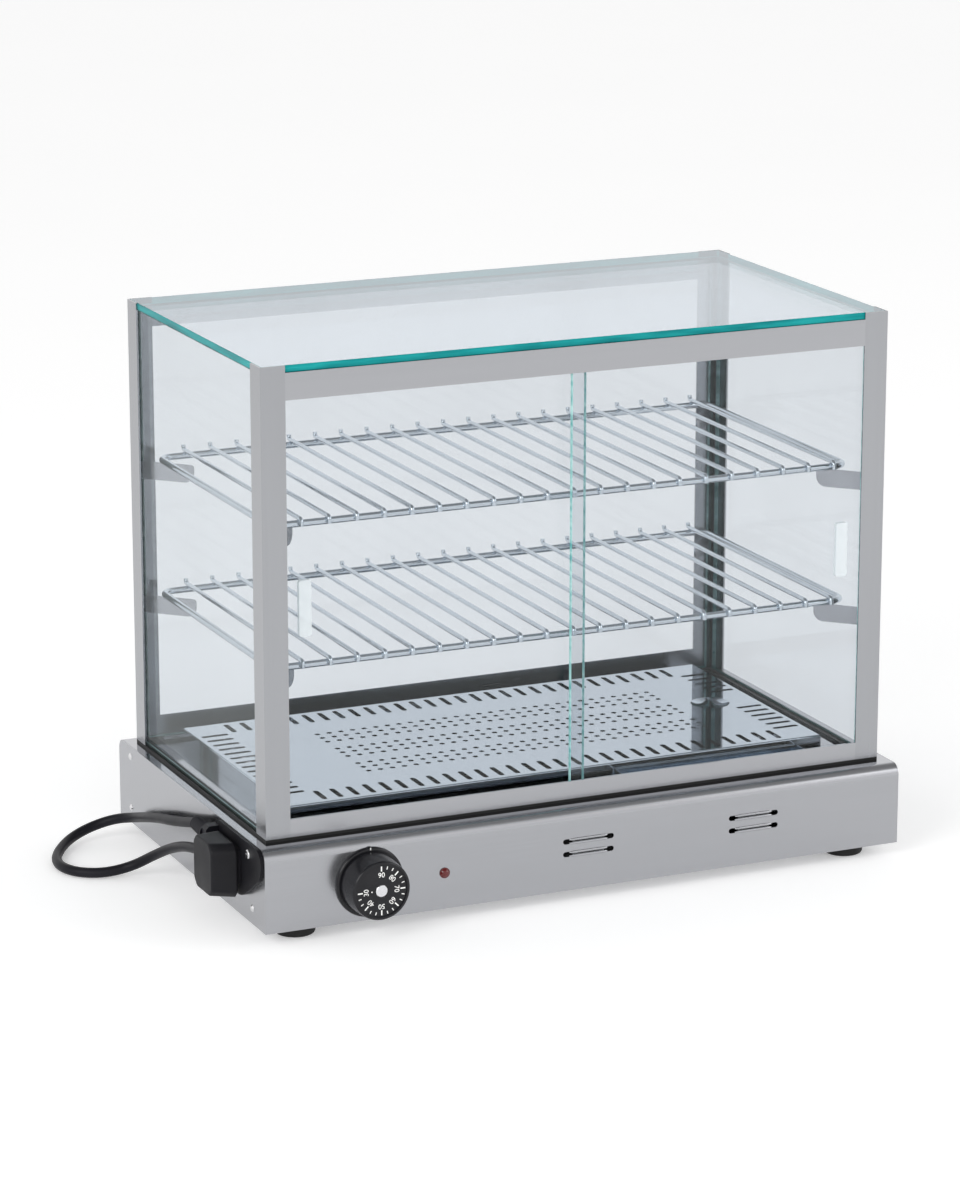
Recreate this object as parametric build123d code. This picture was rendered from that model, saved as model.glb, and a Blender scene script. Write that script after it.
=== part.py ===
"""Countertop heated display case: a sheet-steel heater base under a framed glass case.

Millimetres, +Z up, the customer's side faces -Y.  The origin is on the standing
surface, under the middle of the base and its knob.
"""
import math
import os

from build123d import *

# ---- driving dimensions -------------------------------------------------------------
BASE_WIDTH = 600.0
BASE_DEPTH = 360.0
BASE_HEIGHT = 72.0
FOOT_HEIGHT = 12.0
BASE_BEND = 10.0            # outer radius of the folded front and rear edges
WRAP_SHEET = 1.2
SIDE_SHEET = 1.5

KNOB_REACH = 28.0           # how far the knob stands out of the front face
CASE_WIDTH = 580.0
CASE_DEPTH = 318.0
CASE_SETBACK = 22.0         # case front behind base front
CASE_HEIGHT = 404.0
GASKET_HEIGHT = 2.5
POST_LEG = 22.0
POST_SHEET = 1.5
RAIL_SHEET = 1.2
RAIL_LIP = 20.0
TOP_GLASS = 6.0
PANE = 4.0                  # side, rear and door glass

DOOR_OVERLAP = 18.0
DOOR_GAP = 6.0              # air between the two door panes
TRAY_SIZE = (510.0, 252.0)
TRAY_RISE = 16.0
SHELF_SIZE = (546.0, 276.0)
SHELF_FRAME_R = 3.0
SHELF_WIRE_R = 2.0
SHELF_PITCH = 25.0
SHELF_WIRES = 21
SHELF_LEVELS = {"lower": 225.0, "upper": 347.0}   # height of the frame wire's centre
CORD_DIAMETER = 9.0

# ---- places worked out from them ------------------------------------------------------
FRONT = KNOB_REACH - (BASE_DEPTH + KNOB_REACH) / 2
REAR = FRONT + BASE_DEPTH
HALF = BASE_WIDTH / 2
FLOOR = FOOT_HEIGHT
DECK = FLOOR + BASE_HEIGHT
CASE_X = CASE_WIDTH / 2
CASE_FRONT = FRONT + CASE_SETBACK
CASE_REAR = CASE_FRONT + CASE_DEPTH
CASE_BOTTOM = DECK + GASKET_HEIGHT
CASE_TOP = DECK + CASE_HEIGHT
GLASS_SEAT = CASE_TOP - TOP_GLASS
WINDOW_BOTTOM = 102.0
WINDOW_TOP = 459.0
POST_IN_X = CASE_X - POST_SHEET
POST_IN_FRONT = CASE_FRONT + POST_SHEET
POST_IN_REAR = CASE_REAR - POST_SHEET
WINDOW_X = CASE_X - POST_LEG
TRAY_Y = 22.0
KNOB_AT = (-206.5, 46.0)
LAMP_AT = (-137.5, 44.0)
PLUG_AT = (-99.5, 56.5)     # Y and Z of the parked plug


# ---- small helpers --------------------------------------------------------------------
def save(name, shape):
    """Write one named piece."""
    export_step(shape, f"parts/{name}.step")


def block(x0, x1, y0, y1, z0, z1):
    """Box between two corners."""
    centre = Pos((x0 + x1) / 2, (y0 + y1) / 2, (z0 + z1) / 2)
    return centre * Box(x1 - x0, y1 - y0, z1 - z0)


def rod_x(x0, x1, y, z, radius):
    """Round bar along X."""
    return Pos((x0 + x1) / 2, y, z) * Rot(0, 90, 0) * Cylinder(radius, x1 - x0)


def rod_y(x, y0, y1, z, radius):
    """Round bar along Y."""
    return Pos(x, (y0 + y1) / 2, z) * Rot(90, 0, 0) * Cylinder(radius, y1 - y0)


def rod_z(x, y, z0, z1, radius):
    """Round bar along Z."""
    return Pos(x, y, (z0 + z1) / 2) * Cylinder(radius, z1 - z0)


def cone_y(x, y0, y1, z, radius0, radius1):
    """Tapered bar along Y, radius0 at y0 and radius1 at y1."""
    return Pos(x, (y0 + y1) / 2, z) * Rot(-90, 0, 0) * Cone(radius0, radius1, y1 - y0)


def pipe(path, radius):
    """Round bar swept along a wire or edge."""
    start = Plane(origin=path @ 0, z_dir=path % 0)
    return sweep(start * Circle(radius), path=path)


def yz_prism(sketch, x0, x1):
    """Extrude a sketch drawn as (Y, Z) from x0 to x1."""
    return extrude(Plane.YZ.offset(x0) * sketch, amount=x1 - x0)


def xz_prism(sketch, y0, y1):
    """Extrude a sketch drawn as (X, Z) from y0 back to y1."""
    return extrude(Plane.XZ.offset(-y0) * sketch, amount=-(y1 - y0))


def rounded_top(depth, height, radius):
    """Rectangle with its two upper corners rounded, centred on the origin."""
    outline = Rectangle(depth, height)
    return fillet(outline.vertices().sort_by(Axis.Y)[-2:], radius)


def octagon(width, height, cut):
    """Rectangle with its four corners cut at 45 degrees, centred on the origin."""
    outline = Rectangle(width, height)
    return chamfer(outline.vertices(), cut)


# ---- heater base ------------------------------------------------------------------------
LOUVRE_LENGTH = 48.0
LOUVRE_X = (-3.0, 156.0)
LOUVRE_Z = (44.6, 56.0)
RIVET_INSET = 30.0
RIVET_Z = (FLOOR + 14, FLOOR + 62)


def base_wrap():
    """Front, deck and rear folded from one sheet, with heater opening and louvres."""
    yc = (FRONT + REAR) / 2
    zc = (FLOOR + DECK) / 2
    outer = Pos(yc, zc) * rounded_top(BASE_DEPTH, BASE_HEIGHT, BASE_BEND)
    hollow = rounded_top(BASE_DEPTH - 2 * WRAP_SHEET, BASE_HEIGHT, BASE_BEND - WRAP_SHEET)
    inner = Pos(yc, zc - WRAP_SHEET) * hollow
    edge = HALF - SIDE_SHEET
    wrap = yz_prism(outer, -edge, edge) - yz_prism(inner, -edge, edge)
    for side in (-1, 1):
        tab_x = sorted((side * edge, side * (edge - WRAP_SHEET)))
        wrap += block(*tab_x, FRONT + 18, REAR - 18, DECK - 22, DECK - WRAP_SHEET / 2)
        for rivet_y in rivet_rows():
            wrap -= rod_x(tab_x[0], tab_x[1], rivet_y, RIVET_Z[1], 2.2)
        if side < 0:
            wrap -= socket_cutout(*tab_x)
    wrap -= block(-215, 215, TRAY_Y - 80, TRAY_Y + 80, DECK - 5, DECK + 1)
    wrap -= rod_y(KNOB_AT[0], FRONT - 1, FRONT + 3, KNOB_AT[1], 5.0)
    wrap -= rod_y(LAMP_AT[0], FRONT - 1, FRONT + 3, LAMP_AT[1], 4.0)
    slit = Rectangle(LOUVRE_LENGTH - 6, 0.8)
    for end in (-1, 1):
        slit += Pos(end * (LOUVRE_LENGTH / 2 - 4.5), 0) * SlotOverall(9, 4.6)
    for x in LOUVRE_X:
        for z in LOUVRE_Z:
            wrap -= xz_prism(Pos(x, z) * slit, FRONT - 1, FRONT + 3)
    slot = SlotOverall(40, 4)
    for column in range(-4, 5):
        wrap -= xz_prism(Pos(column * 55, FLOOR + 40) * slot, REAR - 3, REAR + 1)
    return wrap


def socket_cutout(x0, x1):
    """Room in the left side of the base for the back of the plug holder."""
    y, z = PLUG_AT
    return block(x0, x1, y - 23.5, y + 23.5, z - 15.5, z + 15.5)


def rivet_rows():
    """Y of the front and rear rivets of a side panel."""
    return (FRONT + RIVET_INSET, REAR - RIVET_INSET)


def base_side(side):
    """Flat end panel; the left one is cut out for the plug holder."""
    yc = (FRONT + REAR) / 2
    zc = (FLOOR + DECK) / 2
    x0, x1 = sorted((side * HALF, side * (HALF - SIDE_SHEET)))
    panel = yz_prism(Pos(yc, zc) * rounded_top(BASE_DEPTH, BASE_HEIGHT, BASE_BEND), x0, x1)
    for y in rivet_rows():
        for z in RIVET_Z:
            panel -= rod_x(x0, x1, y, z, 2.2)
    if side < 0:
        panel -= socket_cutout(x0, x1)
        panel -= rod_x(x0, x1, *HOLDER_SCREWS[1], 2.2)
    return panel


def base_bottom():
    """Closing pan with four upturned flanges, drilled for the feet."""
    gap = 0.2
    x = HALF - SIDE_SHEET - gap
    y0 = FRONT + WRAP_SHEET + gap
    y1 = REAR - WRAP_SHEET - gap
    pan = block(-x, x, y0, y1, FLOOR, FLOOR + 22) - block(
        -x + 1, x - 1, y0 + 1, y1 - 1, FLOOR + 1, FLOOR + 22
    )
    for fx, fy in foot_places().values():
        pan -= rod_z(fx, fy, FLOOR - 1, FLOOR + 2, 2.7)
    for side in (-1, 1):
        for y in rivet_rows():
            pan -= rod_x(min(side * x, side * (x - 1)), max(side * x, side * (x - 1)), y, RIVET_Z[0], 2.2)
    for row in range(-2, 3):
        for column in range(-3, 4):
            pan -= Pos(column * 50, row * 26 + 14, FLOOR + 0.5) * Box(34, 4, 2)
    return pan


def foot_places():
    """Name and centre of each foot."""
    inset_x, inset_y = 38.0, 30.0
    return {
        f"{depth}_{side}": (sx * (HALF - inset_x), y)
        for depth, y in (("front", FRONT + inset_y), ("rear", REAR - inset_y))
        for side, sx in (("left", -1), ("right", 1))
    }


def foot(x, y):
    """Rubber foot: a tapered puck with a counterbored screw hole."""
    body = Pos(x, y, FOOT_HEIGHT / 2) * Cone(17.0, 18.5, FOOT_HEIGHT)
    body = fillet(body.edges().group_by(Axis.Z)[0], 2.5)
    body -= rod_z(x, y, 0, 6, 6.0)
    return body - rod_z(x, y, 5, FOOT_HEIGHT, 2.7)


def foot_screws():
    """Pan-head screws that hold the feet to the bottom pan."""
    screws = []
    for x, y in foot_places().values():
        screws.append(rod_z(x, y, 3.5, 6, 5.0) + rod_z(x, y, 6, FLOOR + 8, 2.5))
    return Compound(screws)


def side_rivets():
    """Dome-head rivets through the end panels."""
    rivets = []
    for side in (-1, 1):
        for y in rivet_rows():
            for z in RIVET_Z:
                if side < 0 and y < 0 and z > DECK - 20:
                    continue      # a plug holder screw takes this place
                dome = Pos(side * HALF, y, z) * Rot(0, side * 90, 0) * Sphere(4.2)
                keep = block(-1.6, 0, y - 5, y + 5, z - 5, z + 5)
                shift = side * HALF if side < 0 else HALF + 1.6
                head = (Pos(-side * 2.6, 0, 0) * dome) & (Pos(shift, 0, 0) * keep)
                shank = rod_x(*sorted((side * HALF, side * (HALF - 4))), y, z, 2.1)
                rivets.append(head + shank)
    return Compound(rivets)


# ---- thermostat, lamp and heater ----------------------------------------------------------
def knob_bezel():
    """Fixed ring behind the knob, with an index rib on top."""
    x, z = KNOB_AT
    ring = rod_y(x, FRONT - 3.5, FRONT, z, 30.5) - rod_y(x, FRONT - 4, FRONT + 1, z, 20.0)
    rim = ring.edges().filter_by(GeomType.CIRCLE).sort_by(Axis.Y)[:2].sort_by(SortBy.RADIUS)[-1]
    ring = fillet(rim, 2.0)
    return ring + block(x - 0.7, x + 0.7, FRONT - 3.5, FRONT - 0.5, z + 28.0, z + 31.2)


def thermostat_knob():
    """Tapered knob with a rounded rim and a slightly sunk dial face."""
    x, z = KNOB_AT
    back = FRONT - 4.0
    face = FRONT - KNOB_REACH
    body = cone_y(x, face, back, z, 25.6, 27.4)
    rim = body.edges().filter_by(GeomType.CIRCLE).sort_by(Axis.Y)[0]
    body = fillet(rim, 2.0)
    body -= rod_y(x, face - 1, face + 1.2, z, 22.8)
    return body - rod_y(x, face + 9, back, z, 3.0)


def knob_cap():
    """Metal disc in the middle of the dial."""
    x, z = KNOB_AT
    face = FRONT - KNOB_REACH + 1.2
    cap = rod_y(x, face - 1.0, face, z, 5.2)
    rim = cap.edges().filter_by(GeomType.CIRCLE).sort_by(Axis.Y)[0]
    return chamfer(rim, 0.4)


def thermostat_shaft():
    """Steel spindle from the thermostat into the knob."""
    x, z = KNOB_AT
    return rod_y(x, FRONT - KNOB_REACH + 9, FRONT + 13, z, 2.98)


def thermostat_body():
    """Thermostat housing behind the front face, bored for the spindle."""
    x, z = KNOB_AT
    y0 = FRONT + WRAP_SHEET
    body = block(x - 17, x + 17, y0, y0 + 33, z - 11.5, z + 23)
    body += rod_y(x, FRONT, y0, z, 4.8)
    for terminal in (-8, 8):
        body += block(x + terminal - 3, x + terminal + 3, y0 + 33, y0 + 43, z - 10, z - 9)
    return body - rod_y(x, y0 - 2, y0 + 14, z, 3.05)


def thermostat_bulb():
    """Copper bulb under the deck and the capillary that joins it to the thermostat."""
    x, z = KNOB_AT
    start = (x + 17, FRONT + 25, z + 6)
    bulb_y, bulb_z = FRONT + 62, DECK - WRAP_SHEET - 3.3
    capillary = FilletPolyline(
        start,
        (x + 40, FRONT + 25, z + 6),
        (x + 55, FRONT + 45, bulb_z),
        (x + 75, bulb_y, bulb_z),
        (x + 96, bulb_y, bulb_z),
        radius=8,
    )
    bulb = rod_x(x + 95, x + 175, bulb_y, bulb_z, 3.2)
    return pipe(capillary, 0.9) + bulb


def indicator_lens():
    """Red pilot-lamp lens on the front face."""
    x, z = LAMP_AT
    flange = rod_y(x, FRONT - 0.8, FRONT, z, 4.6)
    dome = (Pos(x, FRONT + 1.2, z) * Sphere(4.6)) & rod_y(x, FRONT - 5, FRONT - 0.8, z, 4.4)
    return flange + dome


def indicator_body():
    """Pilot-lamp holder behind the front face."""
    x, z = LAMP_AT
    body = rod_y(x, FRONT, FRONT + 24, z, 3.9)
    nut = rod_y(x, FRONT + WRAP_SHEET, FRONT + 5, z, 6.5)
    return body + nut


ELEMENT_Z = 52.0
ELEMENT_R = 4.0
ELEMENT_ROWS = (-46.0, 2.0, 42.0, 90.0)
SHIELD_Z = 30.0


def heating_element():
    """Sheathed element bent into four long runs under the tray."""
    reach = 185.0
    y0, y1, y2, y3 = ELEMENT_ROWS
    path = FilletPolyline(
        (-reach - 25, y0, ELEMENT_Z),
        (reach, y0, ELEMENT_Z),
        (reach, y1, ELEMENT_Z),
        (-reach + 25, y1, ELEMENT_Z),
        (-reach + 25, y2, ELEMENT_Z),
        (reach, y2, ELEMENT_Z),
        (reach, y3, ELEMENT_Z),
        (-reach - 25, y3, ELEMENT_Z),
        radius=18,
    )
    ends = [rod_x(-reach - 37, -reach - 25, y, ELEMENT_Z, 1.5) for y in (y0, y3)]
    return pipe(path, ELEMENT_R) + ends


def element_brackets():
    """Three drilled uprights that carry the element on the shield."""
    uprights = []
    for x in (-130.0, 0.0, 130.0):
        plate = block(x - 0.8, x + 0.8, -58, 102, SHIELD_Z, ELEMENT_Z + 9)
        foot_plate = block(x - 0.8, x + 9, -58, 102, SHIELD_Z, SHIELD_Z + 1.2)
        for y in ELEMENT_ROWS:
            plate -= rod_x(x - 2, x + 2, y, ELEMENT_Z, ELEMENT_R + 0.15)
        uprights.append(plate + foot_plate)
    return Compound(uprights)


def heat_shield():
    """Reflector sheet under the element, standing on the bottom pan on two folded legs."""
    legs = FLOOR + 1.0
    shield = block(-225, 225, -72, 116, legs, SHIELD_Z)
    return shield - block(-224, 224, -73, 117, legs - 1, SHIELD_Z - 1)


def terminal_block():
    """Three-way mains terminal block on the bottom pan behind the cord entry."""
    body = block(-276, -256, 20, 66, FLOOR + 1, FLOOR + 19)
    for y in (29.0, 43.0, 57.0):
        body -= rod_x(-280, -250, y, FLOOR + 8, 2.2)
        body -= rod_z(-266, y, FLOOR + 11, FLOOR + 21, 2.8)
    return body


# ---- cord, plug and plug holder --------------------------------------------------------------
HOLDER_OUT = HALF + 2.5
HOLDER_SPAN = ((FRONT + 3, FRONT + 110), (31.0, 83.0))
HOLDER_CUT = (45.0, 29.0)   # Y and Z taken off its lower front corner
HOLDER_SCREWS = ((FRONT + RIVET_INSET, FLOOR + 62), (FRONT + 104, 38.0))
PIN_SPREAD = 19.0
EXIT_AT = (-309.5, 70.5)    # X and Z of the cord where it leaves its strain relief
RELIEF_SPAN = (FRONT + 99.5, FRONT + 138)
PLUG_ENTRY = (-316.5, -67.5, 57.0)

CORD_ROUTE = (
    (EXIT_AT[0], RELIEF_SPAN[1], EXIT_AT[1]),
    (-310.0, 16.0, 58.0),
    (-310.0, 62.0, 48.0),
    (-308.5, 102.0, 36.5),
    (-305.5, 137.5, 25.5),
    (-318.5, 156.5, 20.5),
    (-339.5, 163.5, 13.5),
    (-361.0, 157.0, 7.5),
    (-379.0, 135.0, 5.0),
    (-390.0, 111.0, 5.0),
    (-391.5, 89.0, 5.0),
    (-382.0, 70.0, 5.0),
    (-362.0, 60.0, 5.0),
    (-338.5, 56.0, 9.0),
    (-322.5, 37.0, 24.0),
    (-318.0, 4.0, 40.0),
    (-316.5, -36.0, 52.5),
    PLUG_ENTRY,
)


def holder_outline():
    """Parking plate as (Y, Z): rounded corners, the lower front one cut away in a long curve."""
    (y0, y1), (z0, z1) = HOLDER_SPAN
    corners = {
        (y0, z1): 12,
        (y0, z0 + HOLDER_CUT[1]): 18,
        (y0 + HOLDER_CUT[0], z0): 30,
        (y1, z0): 12,
        (y1, z1): 12,
    }
    outline = make_face(Polyline(*corners, close=True))
    for corner, radius in corners.items():
        nearest = outline.vertices().sort_by_distance((*corner, 0))[0]
        outline = fillet(nearest, radius)
    return outline


def plug_holder():
    """Black parking plate on the left panel, with a blind two-pin socket behind it."""
    holder = yz_prism(holder_outline(), -HOLDER_OUT, -HALF)
    y, z = PLUG_AT
    holder += block(-HALF, -HALF + 23, y - 23, y + 23, z - 15, z + 15)
    for side in (-1, 1):
        pin_y = y + side * PIN_SPREAD / 2
        holder -= rod_x(-HOLDER_OUT, -HALF + 19, pin_y, z, 2.6)
    for screw_y, screw_z in HOLDER_SCREWS:
        holder -= rod_x(-HOLDER_OUT, -HALF, screw_y, screw_z, 2.2)
    return holder


def holder_screws():
    """Two pan-head screws through the parking plate and the end panel."""
    screws = []
    for y, z in HOLDER_SCREWS:
        head = rod_x(-HOLDER_OUT - 2, -HOLDER_OUT, y, z, 4.0)
        rim = head.edges().filter_by(GeomType.CIRCLE).sort_by(Axis.X)[0]
        head = fillet(rim, 1.2)
        head -= block(-HOLDER_OUT - 3, -HOLDER_OUT - 1.2, y - 0.5, y + 0.5, z - 2.4, z + 2.4)
        head -= block(-HOLDER_OUT - 3, -HOLDER_OUT - 1.2, y - 2.4, y + 2.4, z - 0.5, z + 0.5)
        screws.append(head + rod_x(-HOLDER_OUT, -HALF + 4, y, z, 2.1))
    return Compound(screws)


def strain_relief():
    """Hood on the parking plate and the tapered sleeve that the cord leaves."""
    x, z = EXIT_AT
    start, end = RELIEF_SPAN
    hood = block(-HOLDER_OUT - 12, -HOLDER_OUT, start, start + 10, z - 8, z + 8)
    hood = chamfer(hood.edges().filter_by(Axis.Y).sort_by(Axis.X)[:2], 3)
    return hood + cone_y(x, start + 10, end, z, 6.8, 5.3)


def power_cord():
    """Rubber mains cord: straight runs joined by tangent arcs as large as the runs allow."""
    route = [Vector(*point) for point in CORD_ROUTE]
    radii = []
    for before, here, after in zip(route, route[1:], route[2:]):
        turn = math.radians((here - before).get_angle(after - here))
        run = min((here - before).length, (after - here).length)
        radii.append(0.45 * run / math.tan(turn / 2))
    path = FilletPolyline(*route, radius=radii)
    cord = pipe(path, CORD_DIAMETER / 2)
    section = math.pi * (CORD_DIAMETER / 2) ** 2
    print("cord radii in diameters", [round(r / CORD_DIAMETER, 1) for r in radii])
    print("cord length", round(path.length, 1), "volume ratio", cord.volume / (section * path.length))
    return cord


def plug():
    """Angled mains plug: a tapered block with cut corners on a smaller neck."""
    y, z = PLUG_AT
    inner = Plane.YZ.offset(-HOLDER_OUT - 3.5) * Pos(y + 6, z - 3.5) * octagon(51, 48, 6)
    outer = Plane.YZ.offset(-327) * Pos(y + 9.5, z - 3) * octagon(42, 46, 6)
    body = loft([inner, outer])
    neck = yz_prism(Pos(y, z) * Rectangle(36, 32), -HOLDER_OUT - 3.5, -HOLDER_OUT)
    entry_x, entry_y, entry_z = PLUG_ENTRY
    return body + neck + rod_y(entry_x, entry_y - 10, entry_y, entry_z, 6.2)


def plug_pins():
    """Two round brass pins in the parking socket."""
    y, z = PLUG_AT
    pins = []
    for side in (-1, 1):
        pins.append(rod_x(-HOLDER_OUT, -HALF + 17, y + side * PIN_SPREAD / 2, z, 2.4))
    return Compound(pins)


# ---- case frame -----------------------------------------------------------------------------
def case_gasket():
    """Black seal between the base deck and the case."""
    ring = block(-CASE_X, CASE_X, CASE_FRONT, CASE_REAR, DECK, CASE_BOTTOM)
    return ring - block(-CASE_X + 9, CASE_X - 9, CASE_FRONT + 9, CASE_REAR - 9, DECK, CASE_BOTTOM)


def corner_post(sx, sy):
    """Angle-section post; both legs point into the case's sides."""
    x0, x1 = sorted((sx * CASE_X, sx * (CASE_X - POST_LEG)))
    face = CASE_FRONT if sy < 0 else CASE_REAR
    y0, y1 = sorted((face, face - sy * POST_LEG))
    post = block(x0, x1, y0, y1, CASE_BOTTOM, CASE_TOP)
    inside = block(
        *sorted((sx * POST_IN_X, sx * (CASE_X - POST_LEG))),
        *sorted((face - sy * POST_SHEET, face - sy * POST_LEG)),
        CASE_BOTTOM,
        CASE_TOP,
    )
    return post - inside


def rail(sy, z0, z1, lip_depth, lip_on_top):
    """Angle-section rail between two posts: an upright face and a level lip."""
    face = CASE_FRONT if sy < 0 else CASE_REAR
    y0, y1 = sorted((face, face - sy * RAIL_SHEET))
    bar = block(-WINDOW_X, WINDOW_X, y0, y1, z0, z1)
    lip_y = sorted((face, face - sy * lip_depth))
    lip_z = (z1 - RAIL_SHEET, z1) if lip_on_top else (z0, z0 + RAIL_SHEET)
    return bar + block(-WINDOW_X, WINDOW_X, *lip_y, *lip_z)


def top_glass():
    """Top pane between the post tips, with ground edges."""
    pane = block(-POST_IN_X, POST_IN_X, POST_IN_FRONT, POST_IN_REAR, GLASS_SEAT, CASE_TOP)
    return chamfer(pane.edges(), 0.5)


def side_glass(side):
    """Side pane against the legs of the two posts."""
    x0, x1 = sorted((side * POST_IN_X, side * (POST_IN_X - PANE)))
    pane = block(x0, x1, POST_IN_FRONT + 6.5, POST_IN_REAR - 6.5, CASE_BOTTOM, GLASS_SEAT)
    return chamfer(pane.edges(), 0.4)


def rear_glass():
    """Fixed rear pane against the legs of the rear posts."""
    x = POST_IN_X - 8
    y0 = POST_IN_REAR - PANE
    pane = block(-x, x, y0, POST_IN_REAR, CASE_BOTTOM + RAIL_SHEET, GLASS_SEAT - RAIL_SHEET)
    return chamfer(pane.edges(), 0.4)


# ---- sliding doors ----------------------------------------------------------------------------
DOOR_FRONT_Y = CASE_FRONT + 2.8
DOOR_REAR_Y = DOOR_FRONT_Y + PANE + DOOR_GAP
DOOR_Y = {"left": DOOR_REAR_Y, "right": DOOR_FRONT_Y}
DOOR_END = WINDOW_X + 3
DOOR_Z = (CASE_BOTTOM + 3.0, GLASS_SEAT - 5.0)
PULL_Z = (256.0, 304.0)
PULL_X = (243.5, 254.5)
PULL_THICK = 4.0


def door(name, side):
    """Sliding pane with ground edges; the two doors overlap in the middle."""
    y0 = DOOR_Y[name]
    x0, x1 = sorted((side * DOOR_END, -side * DOOR_OVERLAP / 2))
    return chamfer(block(x0, x1, y0, y0 + PANE, *DOOR_Z).edges(), 0.4)


def door_pull(name, side):
    """Clear strip bonded to the front of a door as a finger pull."""
    y1 = DOOR_Y[name]
    x0, x1 = sorted((side * PULL_X[0], side * PULL_X[1]))
    pull = block(x0, x1, y1 - PULL_THICK, y1, *PULL_Z)
    return fillet(pull.edges().filter_by(Axis.Y), 2.0)


def door_track(bottom):
    """Two-channel track: a web with three ribs that guide the panes."""
    ribs = (
        (CASE_FRONT + RAIL_SHEET, DOOR_FRONT_Y - 0.4),
        (DOOR_FRONT_Y + PANE + 0.6, DOOR_REAR_Y - 0.6),
        (DOOR_REAR_Y + PANE + 0.6, DOOR_REAR_Y + PANE + 1.8),
    )
    if bottom:
        web = (CASE_BOTTOM + RAIL_SHEET, CASE_BOTTOM + RAIL_SHEET + 1.5)
        rib_z = (web[0], web[1] + 7.0)
    else:
        web = (GLASS_SEAT - RAIL_SHEET - 1.5, GLASS_SEAT - RAIL_SHEET)
        rib_z = (web[0] - 12.0, web[1])
    track = block(-WINDOW_X, WINDOW_X, ribs[0][0], ribs[2][1], *web)
    for y0, y1 in ribs:
        track += block(-WINDOW_X, WINDOW_X, y0, y1, *rib_z)
    return track


# ---- shelves ------------------------------------------------------------------------------------
SHELF_Y = 22.0
SHELF_WIRE_SHIFT = 5.0      # the cross wires start nearer to the right end
BRACKET_LENGTH = 58.0
BRACKET_HEIGHT = 16.0


def shelf(level):
    """Wire rack: a rounded frame with cross wires turned down in front and up behind."""
    half_x = SHELF_SIZE[0] / 2 - SHELF_FRAME_R
    half_y = SHELF_SIZE[1] / 2 - SHELF_FRAME_R
    outline = Pos(0, SHELF_Y, level) * RectangleRounded(2 * half_x, 2 * half_y, 12)
    frame = pipe(outline.wire(), SHELF_FRAME_R)
    seat = SHELF_FRAME_R + SHELF_WIRE_R - 0.4
    front = SHELF_Y - half_y - seat
    rear = SHELF_Y + half_y + seat
    wires = []
    for number in range(SHELF_WIRES):
        x = (number - (SHELF_WIRES - 1) / 2) * SHELF_PITCH + SHELF_WIRE_SHIFT
        line = FilletPolyline(
            (x, front, level - 1.5),
            (x, front, level + seat),
            (x, rear, level + seat),
            (x, rear, level + seat + 4.0),
            radius=3.0,
        )
        wires.append(pipe(line, SHELF_WIRE_R))
    return frame + wires


def bracket(sx, sy, level):
    """Upright tab welded into a post's inner corner, pointing diagonally inwards."""
    face = POST_IN_FRONT if sy < 0 else POST_IN_REAR
    top = level - SHELF_FRAME_R - 0.3
    outline = Pos(BRACKET_LENGTH / 2, -BRACKET_HEIGHT / 2) * Rectangle(BRACKET_LENGTH, BRACKET_HEIGHT)
    corners = outline.vertices().group_by(Axis.X)[-1].sort_by(Axis.Y)
    outline = fillet(corners[0], 9.0)
    outline = fillet(outline.vertices().group_by(Axis.X)[-1].sort_by(Axis.Y)[-1], 3.0)
    inwards = Vector(-sx, -sy, 0).normalized()
    root = Vector(sx * POST_IN_X, face, top) + inwards * 0.85
    plane = Plane(origin=root, x_dir=inwards, z_dir=inwards.cross(Vector(0, 0, 1)))
    return extrude(plane * outline, amount=0.75, both=True)


# ---- floor tray and water pan ----------------------------------------------------------------------
SLOT_PITCH = 15.0
SLOT_COUNT = 30
SLOT_SIZE = (25.0, 5.0)
END_SLOT_PITCH = 14.0
END_SLOT_COUNT = 14
HOLE_RADIUS = 2.5
HOLE_PITCH = (11.25, 12.0)
HOLE_COLUMNS = 30
BAND_PITCH = 47.0
DISH_AT = (211.0, 26.0)
DISH_RADIUS = 20.0


def tray_holes():
    """Slots along all four edges and three bands of round holes, as one sketch."""
    cuts = []
    edge_y = TRAY_SIZE[1] / 2 - 19
    for number in range(SLOT_COUNT):
        x = (number - (SLOT_COUNT - 1) / 2) * SLOT_PITCH
        for side in (-1, 1):
            cuts.append(Pos(x, TRAY_Y + side * edge_y) * Rot(0, 0, 90) * SlotOverall(*SLOT_SIZE))
    edge_x = TRAY_SIZE[0] / 2 - 17
    for number in range(END_SLOT_COUNT):
        y = TRAY_Y + (number - (END_SLOT_COUNT - 1) / 2) * END_SLOT_PITCH
        cuts.append(Pos(-edge_x, y) * SlotOverall(*SLOT_SIZE))
        if abs(y - DISH_AT[1]) > DISH_RADIUS:
            cuts.append(Pos(edge_x, y) * SlotOverall(*SLOT_SIZE))
    for band in (-1, 0, 1):
        for row in (-1, 0, 1):
            for column in range(HOLE_COLUMNS):
                x = 10 + (column - (HOLE_COLUMNS - 1) / 2) * HOLE_PITCH[0]
                y = TRAY_Y - 1 + band * BAND_PITCH + row * HOLE_PITCH[1]
                cuts.append(Pos(x, y) * Circle(HOLE_RADIUS))
    return Sketch() + cuts


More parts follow.
